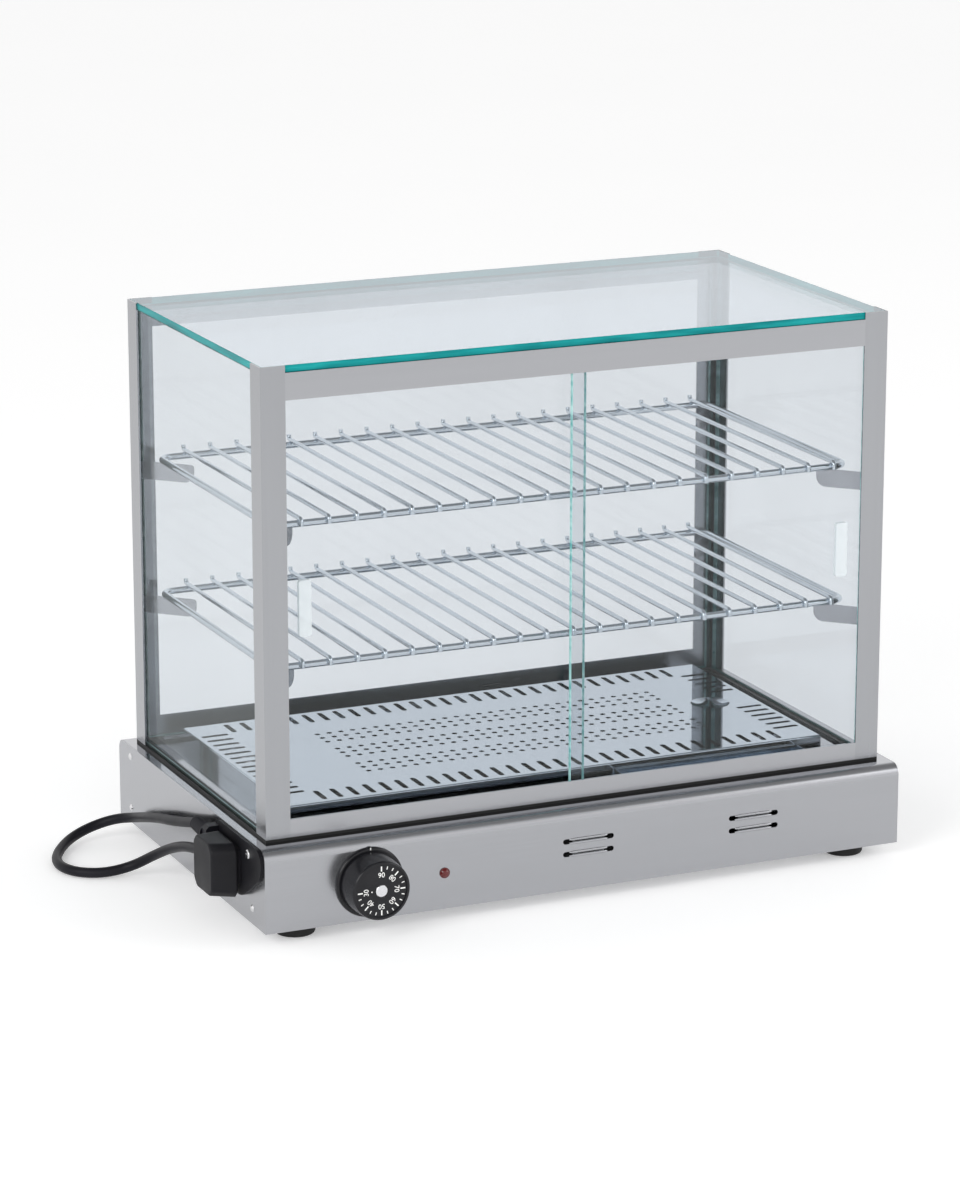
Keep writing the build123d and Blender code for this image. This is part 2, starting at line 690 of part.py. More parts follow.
def floor_tray():
    """Perforated tray with turned-down edges and a shallow round dish at the right."""
    sheet = 0.8
    top = DECK + TRAY_RISE
    length, depth = TRAY_SIZE
    tray = Pos(0, TRAY_Y, top - TRAY_RISE / 2) * Box(length, depth, TRAY_RISE - 0.4)
    tray = fillet(tray.edges().group_by(Axis.Z)[-1], 1.5)
    hollow = Box(length - 2 * sheet, depth - 2 * sheet, TRAY_RISE)
    tray -= Pos(0, TRAY_Y, top - 0.2 - sheet - TRAY_RISE / 2) * hollow
    tray -= extrude(Pos(0, 0, top - 3) * tray_holes(), amount=5)
    x, y = DISH_AT
    ball = 52.0
    sink = Pos(x, y, top - 0.2 + math.sqrt(ball**2 - DISH_RADIUS**2))
    shell = (sink * Sphere(ball) - sink * Sphere(ball - sheet)) & rod_z(x, y, top - 12, top - 0.2, 21)
    return tray - rod_z(x, y, top - 3, top + 1, DISH_RADIUS - 0.4) + shell


def water_pan():
    """Narrow humidity pan on the deck between the tray and the door track."""
    x0, x1 = 51.0, 230.0
    y0 = CASE_FRONT + RAIL_LIP + 0.3
    y1 = TRAY_Y - TRAY_SIZE[1] / 2 - 1.0
    top = DECK + 10.3
    pan = block(x0, x1, y0, y1, DECK, top)
    pan = fillet(pan.edges().filter_by(Axis.Z), 3)
    return pan - block(x0 + 0.8, x1 - 0.8, y0 + 0.8, y1 - 0.8, DECK + 0.8, top + 1)


# ---- write every piece ---------------------------------------------------------------------------------
SIDES = (("left", -1), ("right", 1))
DEPTHS = (("front", -1), ("rear", 1))


def pieces():
    """Every piece by name."""
    yield "base_wrap", base_wrap()
    yield "base_bottom", base_bottom()
    for name, side in SIDES:
        yield f"base_side_{name}", base_side(side)
        yield f"side_glass_{name}", side_glass(side)
        yield f"door_{name}", door(name, side)
        yield f"door_pull_{name}", door_pull(name, side)
    for name, place in foot_places().items():
        yield f"foot_{name}", foot(*place)
    yield "foot_screws", foot_screws()
    yield "side_rivets", side_rivets()
    yield "knob_bezel", knob_bezel()
    yield "thermostat_knob", thermostat_knob()
    yield "knob_cap", knob_cap()
    yield "thermostat_shaft", thermostat_shaft()
    yield "thermostat_body", thermostat_body()
    yield "thermostat_bulb", thermostat_bulb()
    yield "indicator_lens", indicator_lens()
    yield "indicator_body", indicator_body()
    yield "heating_element", heating_element()
    yield "element_brackets", element_brackets()
    yield "heat_shield", heat_shield()
    yield "terminal_block", terminal_block()
    yield "plug_holder", plug_holder()
    yield "holder_screws", holder_screws()
    yield "strain_relief", strain_relief()
    yield "power_cord", power_cord()
    yield "plug", plug()
    yield "plug_pins", plug_pins()
    yield "case_gasket", case_gasket()
    for depth, sy in DEPTHS:
        for name, sx in SIDES:
            yield f"post_{depth}_{name}", corner_post(sx, sy)
            for shelf_name, level in SHELF_LEVELS.items():
                yield f"bracket_{shelf_name}_{depth}_{name}", bracket(sx, sy, level)
    yield "rail_front_top", rail(-1, WINDOW_TOP, GLASS_SEAT, RAIL_LIP, True)
    yield "rail_front_bottom", rail(-1, CASE_BOTTOM, WINDOW_BOTTOM, RAIL_LIP, False)
    yield "rail_rear_top", rail(1, GLASS_SEAT - 20, GLASS_SEAT, 12, True)
    yield "rail_rear_bottom", rail(1, CASE_BOTTOM, CASE_BOTTOM + 20, 12, False)
    yield "top_glass", top_glass()
    yield "rear_glass", rear_glass()
    yield "door_track_top", door_track(False)
    yield "door_track_bottom", door_track(True)
    for name, level in SHELF_LEVELS.items():
        yield f"shelf_{name}", shelf(level)
    yield "floor_tray", floor_tray()
    yield "water_pan", water_pan()


if __name__ == "__main__":
    os.makedirs("parts", exist_ok=True)
    count = 0
    for piece_name, shape in pieces():
        save(piece_name, shape)
        count += 1
    print(count, "pieces")
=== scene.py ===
"""Countertop heated display case: finishes, glass, dial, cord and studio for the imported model.

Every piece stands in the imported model's own frame, in metres, with +Z up and the
customer's side facing -Y.
"""
from __future__ import annotations

import logging
import math
from dataclasses import dataclass, field
from enum import Enum

import bmesh
import bpy
import numpy as np
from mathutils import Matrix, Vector


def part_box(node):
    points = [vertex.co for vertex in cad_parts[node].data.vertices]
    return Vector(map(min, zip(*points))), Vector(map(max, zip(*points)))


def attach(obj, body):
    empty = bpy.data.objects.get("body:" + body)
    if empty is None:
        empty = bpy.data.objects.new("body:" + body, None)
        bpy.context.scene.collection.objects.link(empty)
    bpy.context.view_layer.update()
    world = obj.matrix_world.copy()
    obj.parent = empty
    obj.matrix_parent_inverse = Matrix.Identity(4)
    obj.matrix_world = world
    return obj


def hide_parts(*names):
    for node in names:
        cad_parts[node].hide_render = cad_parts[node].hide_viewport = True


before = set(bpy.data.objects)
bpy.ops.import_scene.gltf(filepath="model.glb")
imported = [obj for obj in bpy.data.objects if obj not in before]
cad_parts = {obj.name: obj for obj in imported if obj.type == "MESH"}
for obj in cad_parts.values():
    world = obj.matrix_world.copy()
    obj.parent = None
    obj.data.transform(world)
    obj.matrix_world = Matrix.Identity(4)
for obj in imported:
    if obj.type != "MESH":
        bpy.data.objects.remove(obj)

LOG = logging.getLogger("display_case")
MM = 0.001
PAINT = 0.12 * MM  # height of a dial mark's paint above the face it lies on
DECK_POLISH = 83.5 * MM  # height just under the deck's face, above which the deck is polished
NO_POLISH = 9.0  # a height that nothing reaches, in metres
TAU = 2.0 * math.pi
Colour = tuple[float, float, float]
Point = tuple[float, float, float]


class Grain(Enum):
    """Direction in which a sheet was ground or drawn."""

    ALONG_X = (5.0, 620.0, 620.0)
    ALONG_Y = (620.0, 5.0, 620.0)
    ALONG_Z = (620.0, 620.0, 5.0)


class Axis(Enum):
    """An axis of the frame, by its place in a point."""

    X = 0
    Y = 1
    Z = 2


# ---- node building ----


@dataclass
class NodeGraph:
    """A small builder for one material's nodes."""

    name: str
    material: bpy.types.Material = field(init=False)
    output: bpy.types.Node = field(init=False)

    def __post_init__(self) -> None:
        """Start from an empty graph with its output."""
        self.material = bpy.data.materials.new(self.name)
        self.material.use_nodes = True
        self.material.node_tree.nodes.clear()
        self.output = self.add("ShaderNodeOutputMaterial")

    def add(self, kind: str, **inputs: object) -> bpy.types.Node:
        """Add a node and set or link its inputs.

        Args:
            kind: Blender's node type.
            inputs: Values or sockets by input name, with "_" for a space.

        Returns:
            The new node.
        """
        node = self.material.node_tree.nodes.new(kind)
        for key, value in inputs.items():
            self.feed(node.inputs[key.replace("_", " ")], value)
        return node

    def feed(self, socket: bpy.types.NodeSocket, value: object) -> None:
        """Link a socket into another one, or set its plain value.

        Args:
            socket: The input to fill.
            value: An output socket to link, or a plain value.
        """
        if isinstance(value, bpy.types.NodeSocket):
            self.material.node_tree.links.new(value, socket)
        else:
            socket.default_value = value

    def place(self, scale: Point) -> bpy.types.NodeSocket:
        """Object coordinates stretched by a scale per axis."""
        coordinates = self.add("ShaderNodeTexCoord").outputs["Object"]
        return self.add("ShaderNodeMapping", Vector=coordinates, Scale=scale).outputs["Vector"]

    def noise(self, scale: Point, detail: float) -> bpy.types.NodeSocket:
        """Soft noise from 0 to 1, with so many waves per metre along each axis."""
        vector = self.place(scale)
        return self.add("ShaderNodeTexNoise", Vector=vector, Scale=1.0, Detail=detail).outputs["Fac"]

    def spread(self, value: bpy.types.NodeSocket, low: float, high: float) -> bpy.types.NodeSocket:
        """Stretch the usual range of a noise, 0.3 to 0.7, onto low to high.

        Args:
            value: Noise to stretch.
            low: What 0.3 becomes.
            high: What 0.7 becomes.

        Returns:
            The stretched value, held between low and high.
        """
        node = self.add("ShaderNodeMapRange", Value=value)
        node.inputs["From Min"].default_value = 0.3
        node.inputs["From Max"].default_value = 0.7
        node.inputs["To Min"].default_value = low
        node.inputs["To Max"].default_value = high
        return node.outputs["Result"]

    def blend(self, factor: bpy.types.NodeSocket, first: Colour, second: Colour) -> bpy.types.NodeSocket:
        """Colour that runs from first to second with a factor.

        Args:
            factor: 0 for the first colour, 1 for the second.
            first: Colour at 0.
            second: Colour at 1.

        Returns:
            The mixed colour.
        """
        node = self.material.node_tree.nodes.new("ShaderNodeMix")
        node.data_type = "RGBA"
        self.feed(node.inputs[0], factor)
        node.inputs[6].default_value = (*first, 1.0)
        node.inputs[7].default_value = (*second, 1.0)
        return node.outputs[2]

    def math(self, operation: str, *values: object) -> bpy.types.NodeSocket:
        """One arithmetic operation.

        Args:
            operation: Blender's name of the operation.
            values: Its numbers or sockets, in order.

        Returns:
            The result.
        """
        node = self.add("ShaderNodeMath")
        node.operation = operation
        for socket, value in zip(node.inputs, values):
            self.feed(socket, value)
        return node.outputs[0]

    def relief(self, height: bpy.types.NodeSocket, depth: float, strength: float) -> bpy.types.NodeSocket:
        """Normal of a bumpy surface whose height is a noise of this depth in metres."""
        node = self.add("ShaderNodeBump", Height=height, Strength=strength, Distance=depth)
        return node.outputs["Normal"]

    def finish(self, shader: bpy.types.NodeSocket) -> bpy.types.Material:
        """Send a shader to the output and hand the material over."""
        self.feed(self.output.inputs["Surface"], shader)
        return self.material


def shade(colour: Colour, factor: float) -> Colour:
    """The colour made lighter or darker by a factor, channel by channel."""
    return tuple(min(channel * factor, 1.0) for channel in colour)


# ---- finishes ----


@dataclass(frozen=True)
class GroundSteel:
    """Stainless sheet with a fine ground grain, faint handling marks and no paint."""

    name: str
    tone: Colour = (0.395, 0.40, 0.42)
    roughness: tuple[float, float] = (0.21, 0.25)
    grain: Grain = Grain.ALONG_X
    streak: float = 0.022
    depth: float = 0.0025 * MM
    relief: float = 0.25
    polished_above: float = NO_POLISH
    polish: float = 0.65

    def build(self) -> bpy.types.Material:
        """Streaks come from a noise stretched along the grain, marks from a broad one.

        Above the polished height the roughness is multiplied by 1 less the polish.

        Returns:
            The material.
        """
        graph = NodeGraph(self.name)
        streaks = graph.noise(self.grain.value, 4.0)
        marks = graph.noise((5.0, 5.0, 5.0), 2.0)
        grey = graph.blend(
            graph.spread(streaks, 0.0, 1.0),
            shade(self.tone, 1.0 - self.streak),
            shade(self.tone, 1.0 + self.streak),
        )
        low, high = self.roughness
        ground = graph.math("MULTIPLY", graph.spread(marks, low, high), graph.spread(streaks, 0.9, 1.1))
        split = graph.add("ShaderNodeSeparateXYZ", Vector=graph.place((1.0, 1.0, 1.0)))
        level = graph.math("GREATER_THAN", split.outputs["Z"], self.polished_above)
        share = graph.math("MULTIPLY_ADD", level, -self.polish, 1.0)
        shader = graph.add(
            "ShaderNodeBsdfPrincipled",
            Base_Color=grey,
            Metallic=1.0,
            Roughness=graph.math("MULTIPLY", ground, share),
            Normal=graph.relief(streaks, self.depth, self.relief),
        )
        return graph.finish(shader.outputs[0])


@dataclass(frozen=True)
class BrightMetal:
    """Drawn wire, pressed or turned metal: bright, with a fine waviness."""

    name: str
    tone: Colour
    roughness: tuple[float, float] = (0.12, 0.22)
    ripple: float = 60.0
    cloud: float = 24.0
    shift: float = 0.07
    depth: float = 0.04 * MM
    relief: float = 0.25

    def build(self) -> bpy.types.Material:
        """A broad noise shifts tone and polish, a finer one bends the reflections.

        Returns:
            The material.
        """
        graph = NodeGraph(self.name)
        cloud = graph.noise((self.cloud,) * 3, 3.0)
        wave = graph.noise((self.ripple,) * 3, 2.0)
        shader = graph.add(
            "ShaderNodeBsdfPrincipled",
            Base_Color=graph.blend(
                cloud, shade(self.tone, 1.0 - self.shift), shade(self.tone, 1.0 + self.shift)
            ),
            Metallic=1.0,
            Roughness=graph.spread(cloud, *self.roughness),
            Normal=graph.relief(wave, self.depth, self.relief),
        )
        return graph.finish(shader.outputs[0])


@dataclass(frozen=True)
class Moulding:
    """Moulded plastic or rubber: an even colour with grain, dust and a soft gloss."""

    name: str
    tone: Colour
    roughness: tuple[float, float] = (0.35, 0.5)
    grain: float = 900.0
    depth: float = 0.03 * MM
    relief: float = 0.5
    cloud: float = 28.0
    dust: float = 0.25
    dust_grey: float = 0.005
    specular: float = 0.22

    def build(self) -> bpy.types.Material:
        """Fine noise makes the moulded grain, a broad one the dust and worn gloss.

        Returns:
            The material.
        """
        graph = NodeGraph(self.name)
        grain = graph.noise((self.grain,) * 3, 2.0)
        cloud = graph.noise((self.cloud,) * 3, 4.0)
        lighter = tuple(channel + self.dust_grey for channel in shade(self.tone, 1.0 + self.dust))
        shader = graph.add(
            "ShaderNodeBsdfPrincipled",
            Base_Color=graph.blend(graph.spread(cloud, 0.0, 1.0), self.tone, lighter),
            Roughness=graph.spread(cloud, *self.roughness),
            Normal=graph.relief(grain, self.depth, self.relief),
        )
        shader.inputs["Specular IOR Level"].default_value = self.specular
        return graph.finish(shader.outputs[0])


@dataclass(frozen=True)
class ClearPane:
    """Float glass seen through its face: a faint green tint under a sharp reflection."""

    name: str
    tint: Colour = (0.918, 0.929, 0.941)
    mirror: tuple[float, float] = (0.022, 0.42)
    gleam: Colour = (0.95, 1.0, 1.0)
    gloss: float = 0.03
    cloud: float = 7.0

    def build(self) -> bpy.types.Material:
        """Tinted see-through under a mirror share that grows towards grazing view.

        The share is the first mirror number plus the second times the fifth power of the
        facing value, which is 0 face-on and 1 edge-on, alike on both sides of the pane.

        Returns:
            The material.
        """
        graph = NodeGraph(self.name)
        cloud = graph.noise((self.cloud,) * 3, 3.0)
        clear = graph.add(
            "ShaderNodeBsdfTransparent",
            Color=graph.blend(graph.spread(cloud, 0.0, 1.0), shade(self.tint, 0.985), self.tint),
        )
        gloss = graph.add("ShaderNodeBsdfGlossy", Color=(*self.gleam, 1.0), Roughness=self.gloss)
        facing = graph.add("ShaderNodeLayerWeight", Blend=0.5).outputs["Facing"]
        steep = graph.math("POWER", facing, 5.0)
        share = graph.math("MULTIPLY_ADD", steep, self.mirror[1], self.mirror[0])
        mix = graph.add("ShaderNodeMixShader")
        graph.feed(mix.inputs[0], share)
        graph.feed(mix.inputs[1], clear.outputs[0])
        graph.feed(mix.inputs[2], gloss.outputs[0])
        return graph.finish(mix.outputs[0])


@dataclass(frozen=True)
class GlassEdge:
    """Ground and polished glass edge, with a painted glow standing in for the light gathered in the pane
    that comes out there.
    """

    name: str
    deep: Colour = (0.0, 0.15, 0.16)
    bright: Colour = (0.01, 0.31, 0.31)
    streak: Point = (16.0, 16.0, 160.0)
    roughness: tuple[float, float] = (0.1, 0.3)
    # strength of the edge's painted glow, which is no lamp
    painted_glow: float = 0.08
    specular: float = 0.12

    def build(self) -> bpy.types.Material:
        """Long soft streaks between the deep and the bright blue-green, glowing in that colour as painted
        light.

        Returns:
            The material.
        """
        graph = NodeGraph(self.name)
        streaks = graph.noise(self.streak, 3.0)
        colour = graph.blend(graph.spread(streaks, 0.0, 1.0), self.deep, self.bright)
        shader = graph.add(
            "ShaderNodeBsdfPrincipled",
            Base_Color=colour,
            Roughness=graph.spread(streaks, *self.roughness),
            Emission_Color=colour,
        )
        # emission in the edge's own colour is painted light: a glow standing in for light piped along the
        # pane
        shader.inputs["Emission Strength"].default_value = self.painted_glow
        shader.inputs["Specular IOR Level"].default_value = self.specular
        return graph.finish(shader.outputs[0])


@dataclass(frozen=True)
class FrostedAcrylic:
    """Clear moulded acrylic, milky where its surface is ground."""

    name: str
    tone: Colour = (0.86, 0.90, 0.92)
    tint: Colour = (0.9, 0.94, 0.95)
    roughness: tuple[float, float] = (0.12, 0.25)
    cloud: Point = (180.0, 180.0, 60.0)
    body: float = 0.6

    def build(self) -> bpy.types.Material:
        """Part see-through and part pale solid, with soft cloudiness.

        Returns:
            The material.
        """
        graph = NodeGraph(self.name)
        cloud = graph.noise(self.cloud, 3.0)
        clear = graph.add("ShaderNodeBsdfTransparent", Color=(*self.tint, 1.0))
        solid = graph.add(
            "ShaderNodeBsdfPrincipled",
            Base_Color=graph.blend(cloud, shade(self.tone, 0.9), self.tone),
            Roughness=graph.spread(cloud, *self.roughness),
        )
        mix = graph.add("ShaderNodeMixShader")
        mix.inputs[0].default_value = self.body
        graph.feed(mix.inputs[1], clear.outputs[0])
        graph.feed(mix.inputs[2], solid.outputs[0])
        return graph.finish(mix.outputs[0])


@dataclass(frozen=True)
class LampLens:
    """Translucent coloured lamp lens with a faint moulded ripple."""

    name: str
    tone: Colour = (0.10, 0.003, 0.003)
    roughness: tuple[float, float] = (0.12, 0.22)
    ripple: float = 900.0
    depth: float = 0.1 * MM
    relief: float = 0.3
    coat: float = 0.2

    def build(self) -> bpy.types.Material:
        """Deep gloss colour, a little lighter in its ripples.

        Returns:
            The material.
        """
        graph = NodeGraph(self.name)
        ripple = graph.noise((self.ripple,) * 3, 2.0)
        shader = graph.add(
            "ShaderNodeBsdfPrincipled",
            Base_Color=graph.blend(ripple, shade(self.tone, 0.8), shade(self.tone, 1.3)),
            Roughness=graph.spread(ripple, *self.roughness),
            Normal=graph.relief(ripple, self.depth, self.relief),
        )
        shader.inputs["Coat Weight"].default_value = self.coat
        return graph.finish(shader.outputs[0])


class Finishes:
    """All finishes of the case, built once."""

    def __init__(self) -> None:
        """Build every material."""
        self.steel_base = GroundSteel("steel_base_wrap", polished_above=DECK_POLISH).build()
        self.steel_x = GroundSteel("steel_grain_across", grain=Grain.ALONG_X).build()
        self.steel_y = GroundSteel("steel_grain_deep", grain=Grain.ALONG_Y).build()
        self.steel_z = GroundSteel(
            "steel_grain_upright", tone=(0.365, 0.372, 0.39), grain=Grain.ALONG_Z
        ).build()
        self.steel_dark = GroundSteel("steel_reflector", tone=(0.34, 0.33, 0.32)).build()
        self.tray = GroundSteel(
            "steel_bright_tray",
            tone=(0.50, 0.55, 0.60),
            roughness=(0.035, 0.06),
            streak=0.015,
            depth=0.001 * MM,
        ).build()
        self.wire = BrightMetal("bright_wire", (0.62, 0.66, 0.70)).build()
        self.hardware = BrightMetal("bright_hardware", (0.66, 0.66, 0.67)).build()
        self.cap = BrightMetal("turned_cap", (0.72, 0.72, 0.74), (0.2, 0.32)).build()
        self.aluminium = BrightMetal("extruded_track", (0.60, 0.61, 0.63), (0.25, 0.4), 20.0).build()
        self.copper = BrightMetal("copper_tube", (0.70, 0.36, 0.22), (0.25, 0.4)).build()
        self.brass = BrightMetal("contact_pins", (0.72, 0.62, 0.40), (0.18, 0.3)).build()
        self.sheath = BrightMetal("element_sheath", (0.12, 0.10, 0.09), (0.4, 0.6)).build()
        black = (0.006, 0.006, 0.008)
        self.knob = Moulding("black_phenolic", black, (0.14, 0.22), 500.0, specular=0.3).build()
        self.plug = Moulding("plug_plastic", black, (0.38, 0.52), 1100.0, specular=0.16).build()
        cord_black = (0.006, 0.006, 0.009)
        self.cord = Moulding("cord_rubber", cord_black, (0.36, 0.5), 1500.0, specular=0.16).build()
        self.rubber = Moulding("foot_rubber", (0.012, 0.012, 0.012), (0.5, 0.7)).build()
        self.gasket = Moulding("gasket_strip", (0.010, 0.010, 0.010), (0.45, 0.6)).build()
        self.ceramic = Moulding("component_plastic", (0.60, 0.57, 0.49), (0.4, 0.55)).build()
        self.paint = Moulding("dial_paint", (0.80, 0.80, 0.78), (0.4, 0.5), 700.0, 0.01 * MM).build()
        self.lens = LampLens("red_lamp_lens").build()
        self.pane = ClearPane("clear_pane").build()
        self.top_pane = ClearPane(
            "clear_top_pane", tint=(0.90, 0.91, 0.92), mirror=(0.022, 1.45), gleam=(0.76, 0.80, 0.84)
        ).build()
        # each glass edge below glows with painted light through its emission
        self.edge = GlassEdge("ground_glass_edge").build()
        self.side_edge = GlassEdge(
            "side_glass_edge", deep=(0.03, 0.10, 0.10), bright=(0.22, 0.34, 0.34)
        ).build()
        self.door_edge = GlassEdge(
            "door_glass_edge", deep=(0.10, 0.34, 0.34), bright=(0.42, 0.66, 0.64)
        ).build()
        self.acrylic = FrostedAcrylic("clear_pull").build()


# ---- meshes ----


def new_piece(
    name: str,
    points: np.ndarray,
    faces: list[list[int]],
    materials: list[bpy.types.Material],
    slots: np.ndarray | None = None,
    smooth: bool = False,
) -> bpy.types.Object:
    """Put points and faces into a new object at the origin.

    Args:
        name: The piece's name.
        points: Array of shape (n, 3), in metres.
        faces: Corner numbers of each face.
        materials: The piece's materials, in slot order.
        slots: Slot number of each face, all 0 if left out.
        smooth: Whether faces are shaded smoothly.

    Returns:
        The linked object.
    """
    mesh = bpy.data.meshes.new(name)
    mesh.from_pydata(points.tolist(), [], faces)
    for material in materials:
        mesh.materials.append(material)
    if slots is not None:
        mesh.polygons.foreach_set("material_index", slots.astype(np.int32))
    mesh.polygons.foreach_set("use_smooth", np.full(len(faces), smooth))
    mesh.update()
    piece = bpy.data.objects.new(name, mesh)
    bpy.context.scene.collection.objects.link(piece)
    return piece


def grid_faces(rows: int, columns: int, around: bool) -> np.ndarray:
    """Quads of a grid of points, row by row.

    Args:
        rows: Rows of points.
        columns: Points in a row.
        around: Whether each row closes on itself.

    Returns:
        Array of shape (k, 4) with the corner numbers.
    """
    last = columns if around else columns - 1
    row, column = np.meshgrid(np.arange(rows - 1), np.arange(last), indexing="ij")
    after = (column + 1) % columns
    here, above = row * columns, (row + 1) * columns
    quads = [here + column, here + after, above + after, above + column]
    return np.stack(quads, axis=-1).reshape(-1, 4)


def turned(
    name: str,
    profile: np.ndarray,
    centre: Point,
    axis: Axis,
    material: bpy.types.Material,
    sides: int = 48,
) -> bpy.types.Object:
    """Surface of revolution: each profile point (along, radius) is carried round the axis.

    Args:
        name: The piece's name.
        profile: Array of (along, radius), in metres, from the low end to the high end.
        centre: Point on the axis where along is 0.
        axis: The axis it turns about.
        material: Its finish.
        sides: Points round the turn.

    Returns:
        The new piece, closed by a flat face at each end.
    """
    angle = np.linspace(0.0, TAU, sides, endpoint=False)
    along, radius = profile[:, :1], profile[:, 1:]
    first, second = radius * np.cos(angle), radius * np.sin(angle)
    run = np.broadcast_to(along, first.shape)
    order = {Axis.X: (run, first, second), Axis.Y: (second, run, first), Axis.Z: (first, second, run)}
    points = np.stack(order[axis], axis=-1).reshape(-1, 3) + np.array(centre)
    faces = grid_faces(len(profile), sides, True)[:, ::-1].tolist()
    faces.append(list(range(sides)))
    faces.append(list(range(len(points) - sides, len(points)))[::-1])
    piece = new_piece(name, points, faces, [material], smooth=True)
    flatten_ends(piece)
    recalculate(piece)
    return piece


def flatten_ends(piece: bpy.types.Object) -> None:
    """Shade the last two faces, which close a piece's ends, flat and the others smooth.

    Args:
        piece: The piece, whose mesh is changed in place.
    """
    polygons = piece.data.polygons
    polygons.foreach_set("use_smooth", [True] * (len(polygons) - 2) + [False] * 2)


def prism(
    name: str, flat: np.ndarray, levels: tuple[float, float], material: bpy.types.Material
) -> bpy.types.Object:
    """Four-sided bars that stand on a plane across Y, all in one piece.

    Args:
        name: The piece's name.
        flat: Array of shape (bars, 4, 2) with each bar's corners in X and Z.
        levels: Y of the outer and the inner face.
        material: Its finish.

    Returns:
        The new piece.
    """
    rings = [np.stack([flat[..., 0], np.full(flat.shape[:2], y), flat[..., 1]], axis=-1) for y in levels]
    points = np.stack(rings, axis=1).reshape(-1, 3)
    sides = [[i, (i + 1) % 4, 4 + (i + 1) % 4, 4 + i] for i in range(4)]
    bar = np.array([[0, 3, 2, 1], [4, 5, 6, 7], *sides])
    faces = (bar[None] + 8 * np.arange(len(flat))[:, None, None]).reshape(-1, 4).tolist()
    piece = new_piece(name, points, faces, [material])
    recalculate(piece)
    return piece


def recalculate(piece: bpy.types.Object) -> None:
    """Turn a closed piece's faces outwards.

    Args:
        piece: The piece, whose mesh is changed in place.
    """
    shell = bmesh.new()
    shell.from_mesh(piece.data)
    bmesh.ops.recalc_face_normals(shell, faces=shell.faces)
    shell.to_mesh(piece.data)
    shell.free()


def dress(node: str, material: bpy.types.Material) -> None:
    """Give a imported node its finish.

    Args:
        node: The node's name.
        material: Its finish, for every slot it has.
    """
    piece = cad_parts[node]
    if not piece.material_slots:
        piece.data.materials.append(material)
    for slot in piece.material_slots:
        slot.material = material


# ---- glass ----


@dataclass
class Pane:
    """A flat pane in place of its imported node, with clear faces and coloured ground edges."""

    node: str
    body: str
    thin: Axis
    edge: bpy.types.Material
    face: bpy.types.Material
    corner: float = 1.5 * MM
    chamfer: float = 0.5 * MM
    steps: int = 5

    def outline(self, width: float, height: float, inset: float) -> np.ndarray:
        """Rounded rectangle: a quarter circle at each corner, pulled in by the inset.

        Args:
            width: Full size along the first axis.
            height: Full size along the second axis.
            inset: How far the outline is pulled in, less than the corner's radius.

        Returns:
            Array of shape (4 * steps, 2), about the middle.
        """
        quarter = np.linspace(0.0, math.pi / 2, self.steps)
        corners = []
        for number, (sx, sy) in enumerate(((1, 1), (-1, 1), (-1, -1), (1, -1))):
            angle = quarter + number * math.pi / 2
            reach = self.corner - inset
            middle = np.array([sx * (width / 2 - self.corner), sy * (height / 2 - self.corner)])
            corners.append(middle + reach * np.stack([np.cos(angle), np.sin(angle)], axis=-1))
        return np.concatenate(corners)

    def build(self) -> bpy.types.Object:
        """Four outlines across the thickness, joined by a rim, closed by the two faces.

        Returns:
            The new pane.
        """
        low, high = (np.array(corner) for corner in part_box(self.node))
        middle, size = (low + high) / 2, high - low
        flat = [axis.value for axis in Axis if axis is not self.thin]
        thickness = size[self.thin.value]
        half = thickness / 2
        shoulder = half - self.chamfer
        levels = ((self.chamfer, -half), (0.0, -shoulder), (0.0, shoulder), (self.chamfer, half))
        rings = []
        for inset, offset in levels:
            ring = np.zeros((4 * self.steps, 3))
            ring[:, flat] = self.outline(size[flat[0]], size[flat[1]], inset)
            ring[:, self.thin.value] = offset
            rings.append(ring + middle)
        points = np.concatenate(rings)
        count = 4 * self.steps
        faces = grid_faces(4, count, True).tolist()
        faces.append(list(range(count)))
        faces.append(list(range(3 * count, 4 * count)))
        slots = np.ones(len(faces))
        slots[-2:] = 0
        piece = new_piece(f"pane_{self.node}", points, faces, [self.face, self.edge], slots)
        recalculate(piece)
        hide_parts(self.node)
        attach(piece, self.body)
        return piece


@dataclass
class GlassCase:
    """The glazing of the case: four fixed panes and the two sliding doors."""

    finishes: Finishes

    def build(self) -> None:
        """Replace each packed pane."""
        clear = self.finishes.pane
        panes = (
            Pane("top_glass", "frame", Axis.Z, self.finishes.edge, self.finishes.top_pane),
            Pane("side_glass_left", "frame", Axis.X, self.finishes.side_edge, clear),
            Pane("side_glass_right", "frame", Axis.X, self.finishes.side_edge, clear),
            Pane("rear_glass", "frame", Axis.Y, self.finishes.side_edge, clear),
            Pane("door_left", "door_left", Axis.Y, self.finishes.door_edge, clear),
            Pane("door_right", "door_right", Axis.Y, self.finishes.door_edge, clear),
        )
        for pane in panes:
            LOG.info("pane %s", pane.build().name)
        for side in ("left", "right"):
            dress(f"door_pull_{side}", self.finishes.acrylic)


# ---- heater base and case frame ----


